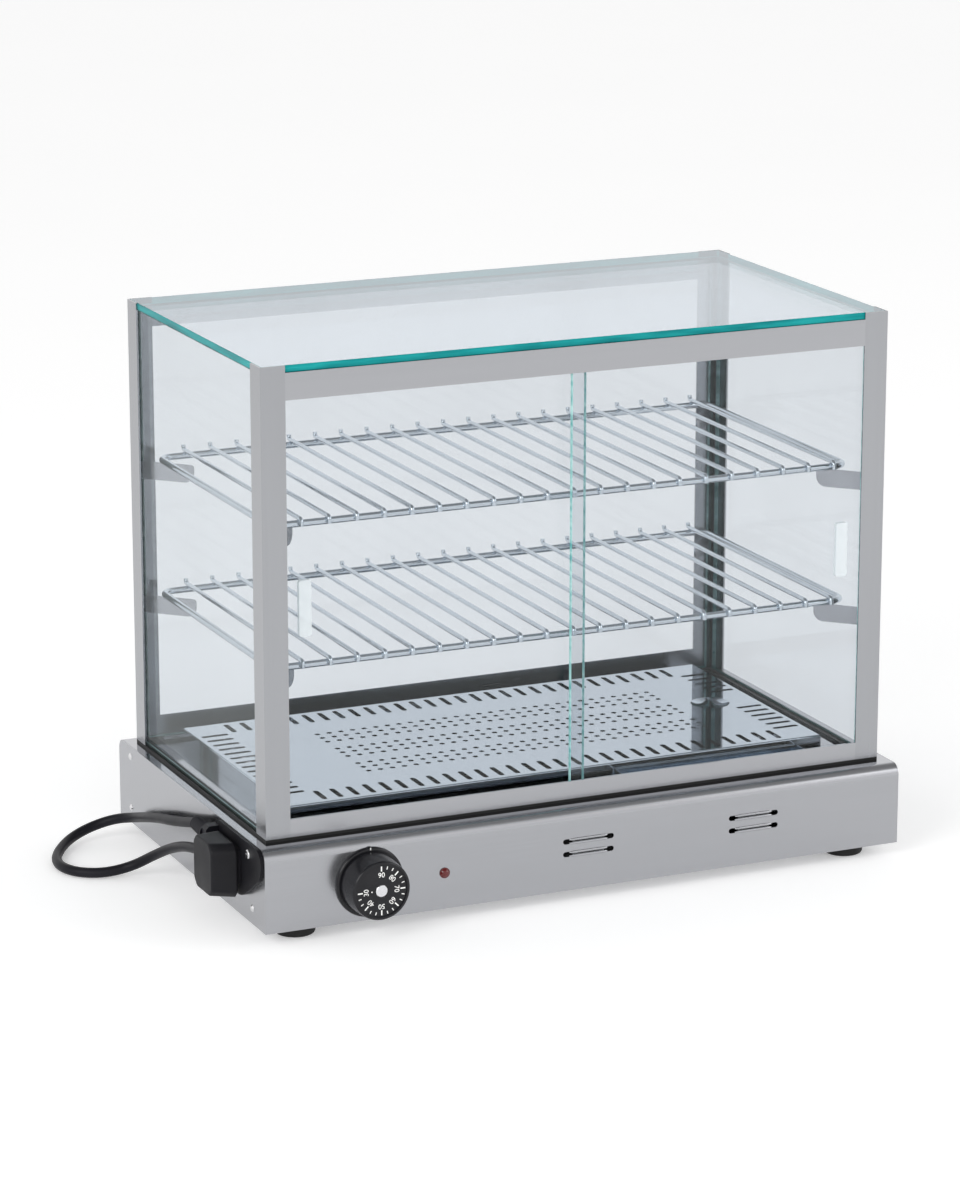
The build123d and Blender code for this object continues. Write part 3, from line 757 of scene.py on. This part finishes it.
@dataclass
class MetalWork:
    """The sheet and wire of the base and the case, left as packed and given finishes."""

    finishes: Finishes

    def build(self) -> None:
        """Dress every packed metal node by its grain direction."""
        finish_by_start = (
            (("base_wrap",), self.finishes.steel_base),
            (("base_bottom", "rail_"), self.finishes.steel_x),
            (("base_side_",), self.finishes.steel_y),
            (("post_",), self.finishes.steel_z),
            (("bracket_",), self.finishes.steel_y),
            (("heat_shield", "element_brackets"), self.finishes.steel_dark),
            (("floor_tray", "water_pan"), self.finishes.tray),
            (("shelf_",), self.finishes.wire),
            (("side_rivets", "holder_screws", "foot_screws", "thermostat_shaft"), self.finishes.hardware),
            (("door_track_",), self.finishes.aluminium),
            (("knob_cap",), self.finishes.cap),
            (("plug_pins",), self.finishes.brass),
            (("thermostat_bulb",), self.finishes.copper),
            (("heating_element",), self.finishes.sheath),
            (("case_gasket",), self.finishes.gasket),
            (("foot_front", "foot_rear"), self.finishes.rubber),
            (("thermostat_body", "terminal_block", "indicator_body"), self.finishes.ceramic),
            (("knob_bezel", "thermostat_knob"), self.finishes.knob),
            (("plug_holder",), self.finishes.plug),
            (("indicator_lens",), self.finishes.lens),
        )
        for starts, material in finish_by_start:
            for node in sorted(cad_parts):
                if node.startswith(starts):
                    dress(node, material)
            LOG.info("finish %s on %s", material.name, ", ".join(starts))
        Louvres(self.finishes).build()


@dataclass
class Louvres:
    """Pressed lips above and below each slit of the front."""

    finishes: Finishes
    centres_x: tuple[float, ...] = (-3.0 * MM, 156.0 * MM)
    centres_z: tuple[float, ...] = (44.6 * MM, 56.0 * MM)
    half_length: float = 18.5 * MM
    half_height: float = 1.15 * MM
    stand_out: float = 0.9 * MM
    lift: float = 1.65 * MM
    reach: float = 0.98
    rings: int = 33
    sides: int = 16

    def lip(self, x: float, z: float) -> np.ndarray:
        """One lip: an ellipse carried along X, whose size falls off towards both ends.

        The place runs from -reach to reach along the lip, and the size is the square root
        of 1 less the eighth power of the place.

        Args:
            x: Middle of the lip.
            z: Height of the lip.

        Returns:
            Array of shape (rings * sides, 3).
        """
        place = np.linspace(-self.reach, self.reach, self.rings)[:, None]
        size = np.sqrt(1.0 - place**8)
        turn = np.linspace(0.0, TAU, self.sides, endpoint=False)
        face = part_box("base_wrap")[0].y
        points = np.empty((self.rings, self.sides, 3))
        points[..., 0] = x + self.half_length * place
        points[..., 1] = face + self.stand_out * size * np.cos(turn)
        points[..., 2] = z + self.half_height * size * np.sin(turn)
        return points.reshape(-1, 3)

    def build(self) -> None:
        """All lips in one piece, each closed at both ends."""
        rows = [
            self.lip(x, z + side * self.lift)
            for x in self.centres_x
            for z in self.centres_z
            for side in (-1, 1)
        ]
        count = len(rows[0])
        ends = [list(range(self.sides)), list(range(count - self.sides, count))]
        single = grid_faces(self.rings, self.sides, True).tolist() + ends
        starts = range(0, count * len(rows), count)
        faces = [[corner + start for corner in face] for start in starts for face in single]
        steel = [self.finishes.steel_base]
        piece = new_piece("louvre_lips", np.concatenate(rows), faces, steel, smooth=True)
        recalculate(piece)
        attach(piece, "frame")


# ---- dial ----


@dataclass
class Dial:
    """White marks on the knob: ticks, a falling scale of plain numbers and a pointer dot."""

    finishes: Finishes
    tick_inner: float = 17.0 * MM
    tick_outer: float = 21.4 * MM
    short_by: float = 1.8 * MM
    major_half: float = 0.55 * MM
    minor_half: float = 0.38 * MM
    tick_step: float = math.radians(15.0)
    ticks_per_number: int = 3
    digit_radius: float = 13.6 * MM
    digit_height: float = 4.6 * MM
    font_size: float = 1.35
    sink: float = 1.2 * MM
    numbers: tuple[int, ...] = (90, 80, 70, 60, 50, 40, 30)
    dot_radius: float = 0.6 * MM
    dot_place: float = 8.7 * MM
    index_half: float = 0.45 * MM
    index_span: tuple[float, float] = (28.6 * MM, 30.6 * MM)
    index_height: float = 0.15 * MM

    def face(self) -> Point:
        """Middle of the dial face, on the knob's axis."""
        low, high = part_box("thermostat_knob")
        return ((low.x + high.x) / 2, low.y + self.sink, (low.z + high.z) / 2)

    def ticks(self) -> bpy.types.Object:
        """Thin bars along radii: one at each number, two shorter ones between.

        Returns:
            The ticks in one piece.
        """
        x, y, z = self.face()
        count = self.ticks_per_number * (len(self.numbers) - 1) + 1
        turn = np.arange(count) * self.tick_step
        major = np.arange(count) % self.ticks_per_number == 0
        inner = np.where(major, self.tick_inner, self.tick_inner + self.short_by)[:, None]
        outer = np.full((count, 1), self.tick_outer)
        width = np.where(major, self.major_half, self.minor_half)[:, None]
        along = np.stack([np.sin(turn), np.cos(turn)], axis=-1)
        across = np.stack([np.cos(turn), -np.sin(turn)], axis=-1)
        corners = [
            along * reach + side * across * width
            for reach, side in ((inner, -1), (inner, 1), (outer, 1), (outer, -1))
        ]
        flat = np.stack(corners, axis=1) + np.array([x, z])
        return prism("dial_ticks", flat, (y - PAINT, y), self.finishes.paint)

    def number(self, value: int, turn: float) -> bpy.types.Object:
        """A plain number whose foot points at the dial's middle.

        Args:
            value: The number.
            turn: Its place round the dial, clockwise from the top, in radians.

        Returns:
            The number's piece.
        """
        text = bpy.data.curves.new(f"number_{value}", "FONT")
        text.body = str(value)
        text.align_x, text.align_y = "CENTER", "CENTER"
        text.size = self.digit_height * self.font_size
        text.extrude = PAINT / 2
        source = bpy.data.objects.new("number_source", text)
        bpy.context.scene.collection.objects.link(source)
        bpy.context.view_layer.update()
        graph = bpy.context.evaluated_depsgraph_get()
        mesh = bpy.data.meshes.new_from_object(source.evaluated_get(graph))
        bpy.data.objects.remove(source)
        x, y, z = self.face()
        points = np.empty(len(mesh.vertices) * 3)
        mesh.vertices.foreach_get("co", points)
        points = points.reshape(-1, 3)
        up = points[:, 1] + self.digit_radius
        cosine, sine = math.cos(turn), math.sin(turn)
        placed = np.stack(
            [
                x + points[:, 0] * cosine + up * sine,
                y - points[:, 2] - PAINT / 2,
                z - points[:, 0] * sine + up * cosine,
            ],
            axis=-1,
        )
        mesh.vertices.foreach_set("co", placed.ravel())
        mesh.materials.clear()
        mesh.materials.append(self.finishes.paint)
        mesh.update()
        piece = bpy.data.objects.new(f"dial_number_{value}", mesh)
        bpy.context.scene.collection.objects.link(piece)
        return piece

    def dot(self) -> bpy.types.Object:
        """A painted dot at the left of the dial face.

        Returns:
            The dot's piece.
        """
        x, y, z = self.face()
        profile = np.array([[-PAINT, self.dot_radius], [0.0, self.dot_radius]])
        return turned("dial_dot", profile, (x - self.dot_place, y, z), Axis.Y, self.finishes.paint, 16)

    def build(self) -> None:
        """Make the marks and let them turn with the knob."""
        pieces = [self.ticks()]
        for place, value in enumerate(self.numbers):
            pieces.append(self.number(value, place * self.ticks_per_number * self.tick_step))
        pieces.append(self.dot())
        for piece in pieces:
            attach(piece, "knob")
        LOG.info("dial with %d pieces", len(pieces))

    def index(self) -> None:
        """White stroke on the fixed ring at the top."""
        x, _, z = self.face()
        low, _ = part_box("knob_bezel")
        inner, outer = self.index_span
        half = self.index_half
        flat = np.array([[[-half, inner], [half, inner], [half, outer], [-half, outer]]])
        levels = (low.y - self.index_height, low.y)
        piece = prism("dial_index", flat + np.array([x, z]), levels, self.finishes.paint)
        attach(piece, "frame")


# ---- cord and plug ----


@dataclass
class Plug:
    """The parked plug: a soft-edged shell, a neck towards its plate and the cord's collar.

    The shell's sizes are taken at its root beside the plate and at its outer end.
    """

    finishes: Finishes
    cord_end: Point
    plate_gap: float = 3.5 * MM
    root_middle: tuple[float, float] = (-93.5 * MM, 53.0 * MM)
    end_middle: tuple[float, float] = (-90.0 * MM, 53.5 * MM)
    root_half: tuple[float, float] = (25.5 * MM, 24.0 * MM)
    end_half: tuple[float, float] = (21.0 * MM, 23.0 * MM)
    corner_cut: float = 6.0 * MM
    root_step: float = 0.6 * MM
    roll_share: float = 0.07
    roll_depth: float = 1.4 * MM
    squareness: float = 44.0
    sides: int = 160
    neck_middle: tuple[float, float] = (-99.5 * MM, 56.5 * MM)
    neck_half: tuple[float, float] = (18.0 * MM, 16.0 * MM)
    neck_length: float = 3.6 * MM
    neck_roundness: float = 0.25
    neck_sides: int = 96
    collar: tuple[tuple[float, float], ...] = (
        (-9.0 * MM, 7.4 * MM),
        (-4.0 * MM, 6.9 * MM),
        (-1.2 * MM, 6.2 * MM),
        (-0.2 * MM, 5.6 * MM),
        (0.0, 4.8 * MM),
    )

    def sections(self) -> tuple[np.ndarray, np.ndarray]:
        """Places of the shell's sections and how far each is pulled in from its full size.

        The pull-in is a small step at the root, and at the end a quarter ellipse.

        Returns:
            Shares of the depth from 0 at the root to 1 at the end, and the pull-in of each.
        """
        start = 1.0 - self.roll_share
        bend = np.sin(np.linspace(0.15, 1.0, 8) * math.pi / 2)
        shares = np.concatenate([[0.0], np.linspace(0.03, start, 14), start + self.roll_share * bend])
        place = np.clip((shares - start) / self.roll_share, 0.0, 1.0)
        pull = (1.0 - np.sqrt(1.0 - place**2)) * self.roll_depth
        pull[0] += self.root_step
        return shares, pull

    def radius(self, half: tuple[np.ndarray, np.ndarray], angle: np.ndarray) -> np.ndarray:
        """Radius of each section at each angle: a rectangle with four cut corners.

        It is the combined distance to the sides and to the cuts, joined by a high power so
        that the edges between them stay round.

        Args:
            half: Half sizes of the sections along Y and along Z.
            angle: Angles about each section's middle.

        Returns:
            Array of shape (sections, angles).
        """
        cosine, sine = np.abs(np.cos(angle)), np.abs(np.sin(angle))
        half_y, half_z = half[0][:, None], half[1][:, None]
        cut = half_y + half_z - self.corner_cut
        near = (cosine / half_y) ** self.squareness + (sine / half_z) ** self.squareness
        near += ((cosine + sine) / cut) ** self.squareness
        return near ** (-1.0 / self.squareness)

    def shell(self) -> bpy.types.Object:
        """Sections that shrink from the root outwards, with a face at each end.

        Returns:
            The shell's piece.
        """
        low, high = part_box("plug")
        root = high.x - self.plate_gap
        shares, pull = self.sections()
        angle = np.linspace(0.0, TAU, self.sides, endpoint=False)
        middle_y, middle_z = (
            first + (last - first) * shares for first, last in zip(self.root_middle, self.end_middle)
        )
        half = tuple(
            first + (last - first) * shares - pull for first, last in zip(self.root_half, self.end_half)
        )
        radius = self.radius(half, angle)
        points = np.empty((*radius.shape, 3))
        points[..., 0] = root - (shares * (root - low.x))[:, None]
        points[..., 1] = middle_y[:, None] + radius * np.cos(angle)
        points[..., 2] = middle_z[:, None] + radius * np.sin(angle)
        faces = grid_faces(len(shares), self.sides, True).tolist()
        faces.append(list(range(self.sides)))
        faces.append(list(range((len(shares) - 1) * self.sides, len(shares) * self.sides)))
        piece = new_piece("plug_shell", points.reshape(-1, 3), faces, [self.finishes.plug], smooth=True)
        flatten_ends(piece)
        recalculate(piece)
        return piece

    def neck(self) -> bpy.types.Object:
        """Narrow rounded neck between the shell and the parking plate.

        Each coordinate is the half size times the sine or cosine, with its size raised to
        the neck's roundness.

        Returns:
            The neck's piece.
        """
        _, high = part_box("plug")
        count = self.neck_sides
        angle = np.linspace(0.0, TAU, count, endpoint=False)
        round_y, round_z = (
            np.sign(wave) * np.abs(wave) ** self.neck_roundness for wave in (np.cos(angle), np.sin(angle))
        )
        y = self.neck_middle[0] + self.neck_half[0] * round_y
        z = self.neck_middle[1] + self.neck_half[1] * round_z
        levels = (high.x, high.x - self.neck_length)
        points = np.concatenate([np.column_stack([np.full(count, x), y, z]) for x in levels])
        ends = [list(range(count)), list(range(count, 2 * count))]
        faces = grid_faces(2, count, True).tolist() + ends
        piece = new_piece("plug_neck", points, faces, [self.finishes.plug])
        recalculate(piece)
        return piece

    def cord_collar(self) -> bpy.types.Object:
        """Rolled collar where the cord enters the plug."""
        profile = np.array(self.collar)
        return turned("cord_collar", profile, self.cord_end, Axis.Y, self.finishes.plug, 32)

    def build(self) -> list[bpy.types.Object]:
        """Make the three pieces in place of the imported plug.

        Returns:
            The shell, the neck and the collar.
        """
        pieces = [self.shell(), self.neck(), self.cord_collar()]
        for piece in pieces:
            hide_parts("plug")
            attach(piece, "frame")
        return pieces


@dataclass
class MainsLead:
    """The rubber lead in one flat loop from its sleeve to the parked plug."""

    finishes: Finishes
    diameter: float = 9.0 * MM
    length: float = 0.520
    ribs: int = 7
    ribs_after: float = 12.0 * MM
    ribs_end_gap: float = 0.4 * MM
    rib_height: float = 0.55 * MM
    sleeve_radius: tuple[float, float] = (6.7 * MM, 5.35 * MM)
    route: tuple[Point, ...] = (
        (-0.3095, -0.0280, 0.0705),
        (-0.3100, 0.0160, 0.0580),
        (-0.3100, 0.0620, 0.0480),
        (-0.3085, 0.1020, 0.0365),
        (-0.3055, 0.1375, 0.0255),
        (-0.3185, 0.1565, 0.0205),
        (-0.3395, 0.1635, 0.0135),
        (-0.3610, 0.1570, 0.0075),
        (-0.3790, 0.1350, 0.0050),
        (-0.3900, 0.1110, 0.0050),
        (-0.3915, 0.0890, 0.0050),
        (-0.3820, 0.0700, 0.0050),
        (-0.3620, 0.0600, 0.0050),
        (-0.3385, 0.0560, 0.0090),
        (-0.3225, 0.0370, 0.0240),
        (-0.3180, 0.0040, 0.0400),
        (-0.3165, -0.0360, 0.0525),
        (-0.3165, -0.0675, 0.0570),
    )

    def cord(self) -> bpy.types.Object:
        """One NURBS spline with the route's points as its control points.

        Returns:
            The cord's piece.
        """
        curve = bpy.data.curves.new("mains_cord", "CURVE")
        curve.dimensions = "3D"
        curve.bevel_depth = self.diameter / 2
        curve.bevel_resolution = 6
        curve.resolution_u = 10
        curve.render_resolution_u = 10
        curve.use_fill_caps = True
        spline = curve.splines.new("NURBS")
        spline.points.add(len(self.route) - 1)
        for point, place in zip(spline.points, self.route):
            point.co = (*place, 1.0)
        spline.order_u = 3
        spline.use_endpoint_u = True
        curve.materials.append(self.finishes.cord)
        piece = bpy.data.objects.new("mains_cord", curve)
        bpy.context.scene.collection.objects.link(piece)
        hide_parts("power_cord")
        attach(piece, "frame")
        return piece

    def sleeve_ribs(self) -> bpy.types.Object:
        """Ribbed skin on the tapered sleeve.

        The radius falls evenly along the sleeve and swells by a cosine wave at each rib.

        Returns:
            The skin's piece.
        """
        low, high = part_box("strain_relief")
        x, _, z = self.route[0]
        start = low.y + self.ribs_after
        along = np.linspace(0.0, high.y - start - self.ribs_end_gap, 120)
        share = along / along[-1]
        wave = 0.5 - 0.5 * np.cos(share * self.ribs * TAU)
        wide, narrow = self.sleeve_radius
        radius = wide + (narrow - wide) * share + self.rib_height * wave
        profile = np.column_stack([along, radius])
        return turned("sleeve_ribs", profile, (x, start, z), Axis.Y, self.finishes.cord, 32)

    def build(self) -> None:
        """Make the lead, its plug and its ribbed sleeve, and log the lead's length."""
        cord = self.cord()
        plug = Plug(self.finishes, self.route[-1]).build()
        dress("strain_relief", self.finishes.cord)
        ribs = self.sleeve_ribs()
        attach(ribs, "frame")
        LOG.info("mains lead, %.0f mm long", self.length / MM)


# ---- studio ----


@dataclass(frozen=True)
class SoftBox:
    """A large soft lamp aimed at a point, with its side in metres and its power in watts."""

    name: str
    place: Point
    aim: Point
    size: float
    power: float

    def build(self) -> None:
        """Add the lamp."""
        lamp = bpy.data.lights.new(self.name, "AREA")
        lamp.shape = "SQUARE"
        lamp.size = self.size
        lamp.energy = self.power
        holder = bpy.data.objects.new(self.name, lamp)
        holder.location = self.place
        aim = Vector(self.aim) - Vector(self.place)
        holder.rotation_euler = aim.to_track_quat("-Z", "Y").to_euler()
        bpy.context.scene.collection.objects.link(holder)


@dataclass
class Studio:
    """Pale floor, soft light and the camera.

    The lens and its sensor are in millimetres, every other size in metres.
    """

    camera_at: Point = (-1.5117, -3.3093, 1.2081)
    look_at: Point = (-0.0254, 0.0114, 0.2265)
    focal: float = 128.48
    sensor: float = 36.0
    far: float = 60.0
    floor_half: float = 14.0
    floor_tones: tuple[float, float] = (0.90, 0.92)
    floor_roughness: float = 0.9
    floor_specular: float = 0.1
    floor_glow: float = 0.3
    sky_fade: tuple[float, float] = (0.45, 0.85)
    sky_strength: tuple[float, float] = (1.15, 0.35)
    lamps: tuple[SoftBox, ...] = (
        SoftBox("lamp_left", (-2.6, -1.6, 1.6), (0.0, 0.0, 0.2), 1.6, 34.0),
        SoftBox("lamp_right", (2.4, -1.8, 1.6), (0.0, 0.0, 0.2), 1.6, 16.0),
    )

    def camera(self) -> None:
        """Long lens from the front left, a little above the case."""
        data = bpy.data.cameras.new("camera")
        data.lens = self.focal
        data.sensor_width = self.sensor
        data.sensor_fit = "AUTO"
        data.clip_end = self.far
        holder = bpy.data.objects.new("camera", data)
        holder.location = self.camera_at
        aim = Vector(self.look_at) - Vector(self.camera_at)
        holder.rotation_euler = aim.to_track_quat("-Z", "Y").to_euler()
        bpy.context.scene.collection.objects.link(holder)
        bpy.context.scene.camera = holder

    def floor(self) -> None:
        """Flat pale floor with a hardly visible mottle."""
        graph = NodeGraph("floor_paper")
        mottle = graph.noise((2.0, 2.0, 2.0), 2.0)
        dark, light = ((tone, tone, tone) for tone in self.floor_tones)
        shader = graph.add(
            "ShaderNodeBsdfPrincipled",
            Base_Color=graph.blend(mottle, dark, light),
            Roughness=self.floor_roughness,
        )
        shader.inputs["Specular IOR Level"].default_value = self.floor_specular
        shader.inputs["Emission Color"].default_value = (1.0, 1.0, 1.0, 1.0)
        shader.inputs["Emission Strength"].default_value = self.floor_glow
        corners = np.array([[-1.0, -1.0, 0.0], [1.0, -1.0, 0.0], [1.0, 1.0, 0.0], [-1.0, 1.0, 0.0]])
        paper = graph.finish(shader.outputs[0])
        plane = new_piece("studio_floor", corners * self.floor_half, [[0, 1, 2, 3]], [paper])

    def sky(self) -> None:
        """World whose strength fades from the horizon's to the overhead one with height."""
        world = bpy.data.worlds.new("studio_sky")
        world.use_nodes = True
        nodes, links = world.node_tree.nodes, world.node_tree.links
        direction = nodes.new("ShaderNodeTexCoord").outputs["Generated"]
        split = nodes.new("ShaderNodeSeparateXYZ")
        links.new(direction, split.inputs[0])
        fade = nodes.new("ShaderNodeMapRange")
        fade.interpolation_type = "SMOOTHSTEP"
        ends = ("From Min", "From Max", "To Min", "To Max")
        for name, value in zip(ends, (*self.sky_fade, *self.sky_strength)):
            fade.inputs[name].default_value = value
        links.new(split.outputs["Z"], fade.inputs["Value"])
        background = nodes["Background"]
        background.inputs[0].default_value = (1.0, 1.0, 1.0, 1.0)
        links.new(fade.outputs["Result"], background.inputs[1])
        bpy.context.scene.world = world

    def build(self) -> None:
        """Set the camera, the floor, the sky and the two broad soft lamps."""
        self.camera()
        self.floor()
        self.sky()
        for lamp in self.lamps:
            lamp.build()
        bpy.context.scene.view_settings.view_transform = "Standard"


def main() -> None:
    """Build every sub-assembly in order and report each step."""
    logging.basicConfig(level=logging.INFO, format="%(name)s: %(message)s")
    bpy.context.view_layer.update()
    studio = Studio()
    studio.build()
    finishes = Finishes()
    MainsLead(finishes).build()
    GlassCase(finishes).build()
    MetalWork(finishes).build()
    dial = Dial(finishes)
    dial.build()
    dial.index()
    LOG.info("boxes written")


if __name__ == "__main__":
    main()
